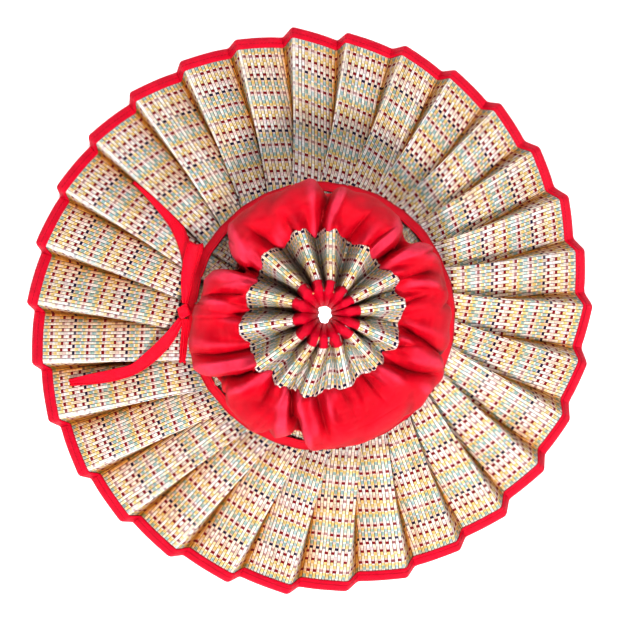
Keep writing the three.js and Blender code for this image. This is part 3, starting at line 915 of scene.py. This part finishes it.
class HAT_OT_brim(bpy.types.Operator):
    """Makes the pleated straw brim with its crown wall, and the tape on the rim"""

    bl_idname = "hat.brim"
    bl_label = "Brim and rim tape"

    def execute(self, context):
        brim, straw, red = context.scene.hat_brim, context.scene.hat_straw, context.scene.hat_red
        strip = brim_profile(brim, np.zeros(1))[4][-1] - WALL_TRIM
        down = np.linspace(0, strip, BRIM_ROWS)
        points = brim_points(brim, down)
        left, right = spread_pleats(points, brim.pleats, FACE_COLUMNS)
        mat = grid_mesh(
            "straw_brim", points, left, right, material("brim straw"), straw.thickness,
            valley=brim_painted_light(brim, down))
        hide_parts("brim_mat")

        points = rim_tape_points(brim)
        left, right = spread_ring(points)
        tape = grid_mesh("rim_tape", points, left, right, material("tape"), red.tape_cloth)
        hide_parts("brim_binding")
        return {"FINISHED"}


TOP_COLUMNS = 10       # columns from one corner of the disc to the next
TOP_CREASE = 0.0018    # half the length over which its creases are rounded
TOP_SIDES = (0.012, 0.0082, 0.012)    # widths of a pleat's rising side, ridge and falling side
TOP_ARCH = 0.0011      # how far a ridge is arched
TOP_HOLLOW = 0.0032    # how far a side is hollowed


def disc_top(crown):
    """Height of the disc's ridges where the petals begin."""
    return crown.seam_height + crown.rise + 0.004


def top_corners(crown, share):
    """Corners of the crown's pleated disc, (rows, corners, 3), at shares of the way in from the outer
    edge to under the petals. Each pleat has a valley and the two shoulders of a narrow round ridge,
    all along straight creases. Wide pleats are deeper, and so are those on the +Y side."""
    ridges, inner_ridges = (np.radians([ridge[i] for ridge in TOP_RIDGES]) for i in (0, 1))
    tips = np.array([ridge[2] for ridge in TOP_RIDGES])
    count = len(ridges)
    whole = np.where(np.arange(count) == 0, 2 * math.pi, 0)
    before, inner_before = (np.roll(angles, 1) - whole for angles in (ridges, inner_ridges))
    valleys, inner_valleys = (before + ridges) / 2, (inner_before + inner_ridges) / 2
    valley_tips = (tips + np.roll(tips, 1)) / 2 - 0.0050
    wide = (ridges - before) / (2 * math.pi / count)
    deep = crown.pleat * (0.6 + 0.4 * wide) * (0.66 + 0.34 * np.sin(valleys))
    high, top = crown.seam_height + 0.0045, disc_top(crown)
    half, inner_half = crown.ridge / 2 / tips, crown.ridge * 0.68 / 2 / (crown.petal_radius * 0.70)

    def in_turn(valley, shoulder, next_shoulder):
        return np.stack(np.broadcast_arrays(valley, shoulder, next_shoulder), -1).ravel()

    outer = around(
        TOP_CENTRE, in_turn(valleys, ridges - half, ridges + half), in_turn(valley_tips, tips, tips),
        in_turn(high - deep, high, high))
    inner = around(
        PETAL_CENTRE, in_turn(inner_valleys, inner_ridges - inner_half, inner_ridges + inner_half),
        np.tile([0.55, 0.70, 0.70], count) * crown.petal_radius, np.tile([top - 0.0240, top, top], count))
    share = share[:, None, None]
    corners = outer * (1 - share) + inner * share
    return corners, np.broadcast_to(np.array([0.0, 0.0, 1.0]), corners.shape)


def top_places():
    """Where the disc's columns stand, three numbers to a pleat, and how far each is from its ridge's
    middle, from 0 to 1 in the valley."""
    places = np.arange(3 * len(TOP_RIDGES) * TOP_COLUMNS) / TOP_COLUMNS
    return places, np.interp(places % 3, [0, 1, 1.5, 2, 3], [1, 0.42, 0, 0.42, 1])


def top_points(crown, share, rounding=TOP_CREASE, lift=0.0):
    """Points of the crown's disc at shares of the way in. A ridge is arched between its shoulders,
    and the sides that fall from them to the valleys are hollow."""
    places, away = top_places()
    corners, normals = top_corners(crown, share)
    sides = np.tile(TOP_SIDES, len(TOP_RIDGES))
    weights = fold_weights(places, sides, rounding * (1.1 - 0.8 * away))
    on_ridge = (places % 3 >= 1) & (places % 3 <= 2)
    bow = lift + np.sin(math.pi * (places % 1)) * np.where(on_ridge, TOP_ARCH, -TOP_HOLLOW)
    return fold(corners, normals, weights, np.broadcast_to(bow, (len(share), len(places))))


# Rows of the petals: share of the way from their outer edge to the hole, height of the arches, and
# how deep the pinches between them are.
PETAL_ROWS = (
    (0.00, 0.0000, 0.0), (0.00, 0.0011, 0.0), (0.10, 0.0022, 0.0010), (0.26, 0.0030, 0.0040),
    (0.42, 0.0026, 0.0070), (0.58, 0.0002, 0.0085), (0.74, -0.0050, 0.0075), (0.88, -0.0125, 0.0045),
    (1.00, -0.0205, 0.0012),
)


def petal_points(crown):
    """Points of the petals, one strip of tape over the disc's inner edge, arched over every ridge and
    pinched between them. It starts on the disc and settles to the arches' own level."""
    places, away = top_places()
    arch = np.sqrt(1 - away ** 2)
    ends = [top_points(crown, np.array([end]), lift=0.0004)[0] for end in (0.0, 1.0)]
    reach = [np.hypot(end[:, 0] - PETAL_CENTRE[0], end[:, 1] - PETAL_CENTRE[1]) for end in ends]
    lobes = 1 + 0.06 * ripple(np.round(places / 3 - 0.5) * 2 * math.pi / len(TOP_RIDGES), (2, 3, 5), 6)
    outer = crown.petal_radius * lobes * (0.80 + 0.22 * arch ** 0.7)
    part = ((reach[0] - outer) / (reach[0] - reach[1]))[:, None]
    edge = ends[0] * (1 - part) + ends[1] * part
    angle = np.unwrap(np.arctan2(edge[:, 1] - PETAL_CENTRE[1], edge[:, 0] - PETAL_CENTRE[0]))
    hole = crown.hole * (1 + 0.10 * ripple(angle, (3, 5, 7), 11) - 0.15 * np.cos(2 * angle))
    way, crest, pinch = spline(PETAL_ROWS, 49).T[:, :, None]
    settle = smooth(0.0, 0.30, way)
    radius = outer + (hole - outer) * way
    height = (edge[:, 2] + crest) * (1 - settle) + (disc_top(crown) + crest - pinch * (1 - arch)) * settle
    return around(PETAL_CENTRE, np.broadcast_to(angle, radius.shape), radius, height)


class HAT_OT_top(bpy.types.Operator):
    """Makes the crown's pleated straw disc and the red petals round its hole"""

    bl_idname = "hat.top"
    bl_label = "Top disc and petals"

    def execute(self, context):
        crown, straw, red = context.scene.hat_crown, context.scene.hat_straw, context.scene.hat_red
        points = top_points(crown, np.linspace(0, 1, 34))
        left, right = spread_pleats(points, len(TOP_RIDGES), 3 * TOP_COLUMNS // 2)
        bearing = np.arctan2(points[..., 1] - TOP_CENTRE[1], points[..., 0] - TOP_CENTRE[0])
        # The painted shade in the disc's folds is strongest on the +Y side and weakest on the -Y side.
        bearing_shade = 0.60 + 0.34 * np.sin(bearing) - 0.26 * np.cos(bearing)
        disc = grid_mesh(
            "straw_top", points, left, right, material("top straw"), straw.thickness,
            valley=smooth(0.50, 0.9, top_places()[1]) * bearing_shade)
        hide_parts("crown_top_mat")

        points = petal_points(crown)
        left, right = spread_ring(points)
        petal = grid_mesh(
            "petal_tape", points, left, right, material("petal tape"), red.tape_cloth)
        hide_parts("crown_top_binding")
        return {"FINISHED"}


PUFF_COLUMNS = 660
PUFF_ROWS = 74
PUFF_WALL = 0.0868    # radius at which the band meets the wall
PUFF_CLOTH = 0.0008   # thickness of its cotton

# Heights of the stops of the band's section, from under the disc's edge to inside the wall: how much
# of a stop's height follows the seam, how far over the seam that is, and the level of the rest of it.
PUFF_HEIGHTS = (
    (1, -0.0030, 0), (1, 0, 0), (0.85, 0.0032, 0.1180), (0.25, 0, 0.1190), (0, 0, 0.1175),
    (0, 0, 0.1120), (0, 0, 0.1030), (0, 0, 0.0945), (0, 0, 0.0865), (0, 0, 0.0812), (0, 0, 0.0768),
)


def puff_section(crown, angle):
    """Radius and height (rows, columns) of the gathered band before it is creased. At each angle a
    smooth line runs from the seam up, out to the outline, over and back in to the wall."""
    # The seam hangs just under the disc's edge.
    edge = top_points(crown, np.array([0.05]), 0.0030, lift=-0.0022)[0]
    edge_angle = np.arctan2(edge[:, 1] - TOP_CENTRE[1], edge[:, 0] - TOP_CENTRE[0]) % (2 * math.pi)
    order = np.argsort(edge_angle)
    edge_radius = np.hypot(edge[:, 0] - TOP_CENTRE[0], edge[:, 1] - TOP_CENTRE[1])
    seam, seam_height = (
        np.interp(angle, edge_angle[order], values[order], period=2 * math.pi)
        for values in (edge_radius, edge[:, 2]))

    # The outline's corners are rounded over 2.4 degrees.
    places, reach = np.array(PUFF_OUTLINE).T
    near = (np.degrees(angle) + 2.4 * step for step in np.linspace(-0.5, 0.5, 9))
    outline = np.mean([np.interp(place, places, reach * 0.001, period=360) for place in near], 0)
    outline = outline * crown.bulge
    wall = PUFF_WALL - wall_pull(angle)
    full = np.clip(outline - seam, 0.008, None)
    stops_radius = np.array([
        seam - 0.004, seam, seam + 0.16 * full, seam + 0.40 * full, seam + 0.66 * full,
        seam + 0.87 * full, seam + 0.98 * full, outline - 0.0002, outline - 0.0030,
        0.5 * outline + 0.5 * wall, wall,
    ])
    follows, over, level = np.array(PUFF_HEIGHTS).T[:, :, None]
    stops_height = follows * (seam_height + over) + (1 - follows) * level
    section = spline(np.concatenate([stops_radius, stops_height], 1), PUFF_ROWS)
    return section[:, :len(angle)], section[:, len(angle):]


def puff_press(angle, share):
    """How far the creases lift or sink the band's cloth, by angle and share of the way from the seam
    to the wall. Each is a sharp valley between two raised shoulders. Short fine creases lie between
    them at random, and the whole cloth sways a little."""
    degrees = np.degrees(angle)
    press = 0
    for seam_at, outline_at, depth, width, begin, end in PUFF_CREASES:
        bend = turned(outline_at, seam_at)
        off = turned(degrees - bend * smooth(0.0, 0.7, share), seam_at)
        window = smooth(begin - 0.02, begin + 0.16, share) * (1 - smooth(end - 0.22, end, share))
        half = width * (0.75 + 0.6 * share)
        lopsided = np.where(off > 0, 1.35, 0.75)
        valley = 0.6 * np.exp(-(np.abs(off) / (half * 0.55 * lopsided)) ** 1.25)
        valley = valley + 0.4 * np.exp(-np.abs(off) / (half * 0.16))
        shoulder = np.exp(-((np.abs(off) - half * 1.25) / (half * 0.8)) ** 2)
        press = press + depth * CREASE_UNIT * window * (0.45 * shoulder - valley)
    rng = np.random.default_rng(31)
    for _ in range(16):
        centre, bend, width = rng.uniform(0, 360), rng.uniform(-14, 14), rng.uniform(0.9, 2.4)
        begin, long, depth = rng.uniform(0.0, 0.6), rng.uniform(0.2, 0.45), rng.uniform(0.0006, 0.0020)
        off = turned(degrees - bend * (share - begin) / long, centre)
        window = smooth(begin, begin + 0.35 * long, share)
        window = window * (1 - smooth(begin + 0.6 * long, begin + long, share))
        shoulder = np.exp(-((off - 2.2 * width) / (1.3 * width)) ** 2)
        press = press + depth * window * (shoulder - np.exp(-np.abs(off) / width))
    sway = ripple(angle + 0.9 * share, (7, 11, 16, 23), 9)
    sway = sway * smooth(0.05, 0.2, share) * (1 - smooth(0.8, 1.0, share))
    return np.clip(press + 0.0013 * sway, -0.0140, 0.0048)


def puff_points(crown):
    """Points of the gathered band between the disc's edge and the top of the straw wall: its section,
    with the creases sunk into the cloth's upper face and into its side. With the points comes the
    weight of painted light at each one, from 1 for painted shade deep in a crease to -1 for a painted
    highlight on a crest."""
    angle = np.linspace(0, 2 * math.pi, PUFF_COLUMNS, endpoint=False)
    share = np.linspace(0, 1, PUFF_ROWS)[:, None]
    radius, height = puff_section(crown, angle)
    run, fall = np.gradient(radius, axis=0), np.gradient(height, axis=0)
    size = np.hypot(run, fall)
    press = puff_press(angle, share)

    # A flat fold of the cloth lies towards the knot, with a sharp edge on its -Y side.
    sideways = radius * np.sin(angle)
    flap = smooth(-0.0014, -0.0004, sideways) * (1 - smooth(0.0070, 0.0092, sideways)) * (np.cos(angle) < 0)
    flap = flap * smooth(0.16, 0.30, share) * (1 - smooth(0.72, 0.90, share))
    press = press * (1 - 0.85 * flap) + 0.0024 * flap
    inward = np.where(press < 0, 0.75, 0.55)
    radius = radius - press * fall / size * inward * (1 - smooth(0.75, 1.0, share))
    height = height + press * np.abs(run / size) * smooth(0.02, 0.15, share)
    # Painted highlight on the raised crests, fading towards the wall, and painted shade in the sunk
    # creases.
    crest = smooth(0.0014, 0.0050, press) * (1 - 0.8 * smooth(0.45, 0.75, share))
    painted_light = smooth(0.0004, -0.0075, press) - crest
    return around(TOP_CENTRE, np.broadcast_to(angle, radius.shape), radius, height), painted_light


class HAT_OT_puff(bpy.types.Operator):
    """Makes the crown's gathered red band"""

    bl_idname = "hat.puff"
    bl_label = "Gathered band"

    def execute(self, context):
        points, painted_light = (grid[::-1] for grid in puff_points(context.scene.hat_crown))
        left, right = spread_ring(points)
        puff = grid_mesh(
            "crown_cotton", points, left, right, material("crown cotton"), PUFF_CLOTH,
            valley=painted_light)
        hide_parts("crown_puff")
        return {"FINISHED"}


BAND_FOOT = (0.0978, 0.0464)            # radius and height of the lower edge of the crown's ribbon
BAND_TOP = (0.0914, 0.0544)             # radius and height of its upper edge
KNOT_HALF = (0.0053, 0.0044, 0.0056)    # half sizes: outwards, along the loops' run and upwards
KNOT_LEAN = math.radians(24)            # how far that run is turned from the Y axis
KNOT_SHIFT = (-0.0006, 0, 0.0012)       # from the middle of the knot's plain solid
SKEW = 0.14                             # how far the knot's outer side is pushed along the run


def band_points():
    """Points of the ribbon against the foot of the wall: a strip of a cone with a slight wave."""
    angle = np.linspace(0, 2 * math.pi, 360, endpoint=False)[None]
    share = np.linspace(0, 1, 7)[:, None]
    radius = BAND_FOOT[0] * (1 - share) + BAND_TOP[0] * share + 0.0004 * ripple(angle, (3, 7, 13, 29), 2)
    height = BAND_FOOT[1] * (1 - share) + BAND_TOP[1] * share + 0.0004 * ripple(angle, (4, 9, 17), 4)
    return around(CROWN_CENTRE, np.broadcast_to(angle, radius.shape), radius, height)


def knot_points():
    """Points of the knot, a band of ribbon wrapped tightly round the loops' ends: a rounded oblong
    carried along the loops' run, pinched at both ends and creased where the ribbon doubles."""
    low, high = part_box("tie_knot")
    middle = (np.array(low) + np.array(high)) / 2 + KNOT_SHIFT
    turn = np.linspace(0, 2 * math.pi, 96, endpoint=False)[None]
    along = np.concatenate([[-1, -1], np.linspace(-1, 1, 33), [1, 1]])[:, None]
    full = np.concatenate([[0.02, 0.55], np.ones(33), [0.55, 0.02]])[:, None]
    crease = 0.09 * np.abs(np.sin(1.5 * turn + 1.9 * along + 0.4)) ** 0.5
    crease = crease + 0.03 * np.sin(4 * turn - 3 * along)
    bulk = full * (0.86 + crease) * (1 - 0.16 * np.abs(along) ** 2.5)
    across, raised = (
        half * bulk * np.sign(wave) * np.abs(wave) ** 0.7
        for half, wave in ((KNOT_HALF[0], np.cos(turn)), (KNOT_HALF[2], np.sin(turn))))
    run = KNOT_HALF[1] * along + SKEW * across
    return middle + np.stack([
        across * math.cos(KNOT_LEAN) - run * math.sin(KNOT_LEAN),
        across * math.sin(KNOT_LEAN) + run * math.cos(KNOT_LEAN), -raised], -1)


class HAT_OT_tie(bpy.types.Operator):
    """Makes the ribbon round the crown, its knot and the bow's two loops"""

    bl_idname = "hat.tie"
    bl_label = "Ribbon, knot and loops"

    def execute(self, context):
        red = context.scene.hat_red
        points = band_points()
        left, right = spread_ring(points)
        band = grid_mesh(
            "ribbon_band", points, left, right, material("ribbon"), red.ribbon_cloth)
        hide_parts("tie_band")

        points = knot_points()
        left, right = spread_ring(points)
        knot = grid_mesh("ribbon_knot", points, left, right, material("ribbon"))
        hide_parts("tie_knot")

        for name, stops, heading, pieces in (
            ("loop_upper", LOOP_UPPER, 170, [knot]), ("loop_lower", LOOP_LOWER, 180, []),
        ):
            points, _, long = bow_ribbon(stops, (heading, heading), 90, cup=0.12)
            left, right = spread(points)
            loop = grid_mesh(
                "ribbon_" + name, points, left, right, material("ribbon"),
                red.ribbon_cloth * 0.8, 0.0)
            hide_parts("tie_" + name)
        return {"FINISHED"}


class HAT_PT_panel(bpy.types.Panel):
    """Lists the hat's pieces"""

    bl_idname = "HAT_PT_panel"
    bl_label = "Pleated straw sun hat"
    bl_space_type = "VIEW_3D"
    bl_region_type = "UI"
    bl_category = "Hat"

    def draw(self, context):
        for step in STEPS:
            self.layout.operator(step.bl_idname, text=step.bl_label)
        for name in GROUPS:
            group = getattr(context.scene, name)
            column = self.layout.column(align=True)
            for size in group.__annotations__:
                column.prop(group, size)


GROUPS = {"hat_straw": HatStraw, "hat_brim": HatBrim, "hat_crown": HatCrown, "hat_red": HatRed}
STEPS = (HAT_OT_stage, HAT_OT_tails, HAT_OT_brim, HAT_OT_top, HAT_OT_puff, HAT_OT_tie)


def register():
    for item in (*GROUPS.values(), *STEPS, HAT_PT_panel):
        bpy.utils.register_class(item)
    for name, group in GROUPS.items():
        setattr(bpy.types.Scene, name, PointerProperty(type=group))


def unregister():
    for name in GROUPS:
        delattr(bpy.types.Scene, name)
    for item in reversed((*GROUPS.values(), *STEPS, HAT_PT_panel)):
        bpy.utils.unregister_class(item)


def main():
    """Builds the whole hat."""
    register()
    for step in STEPS:
        group, name = step.bl_idname.split(".")
        getattr(getattr(bpy.ops, group), name)()


if __name__ == "__main__":
    main()
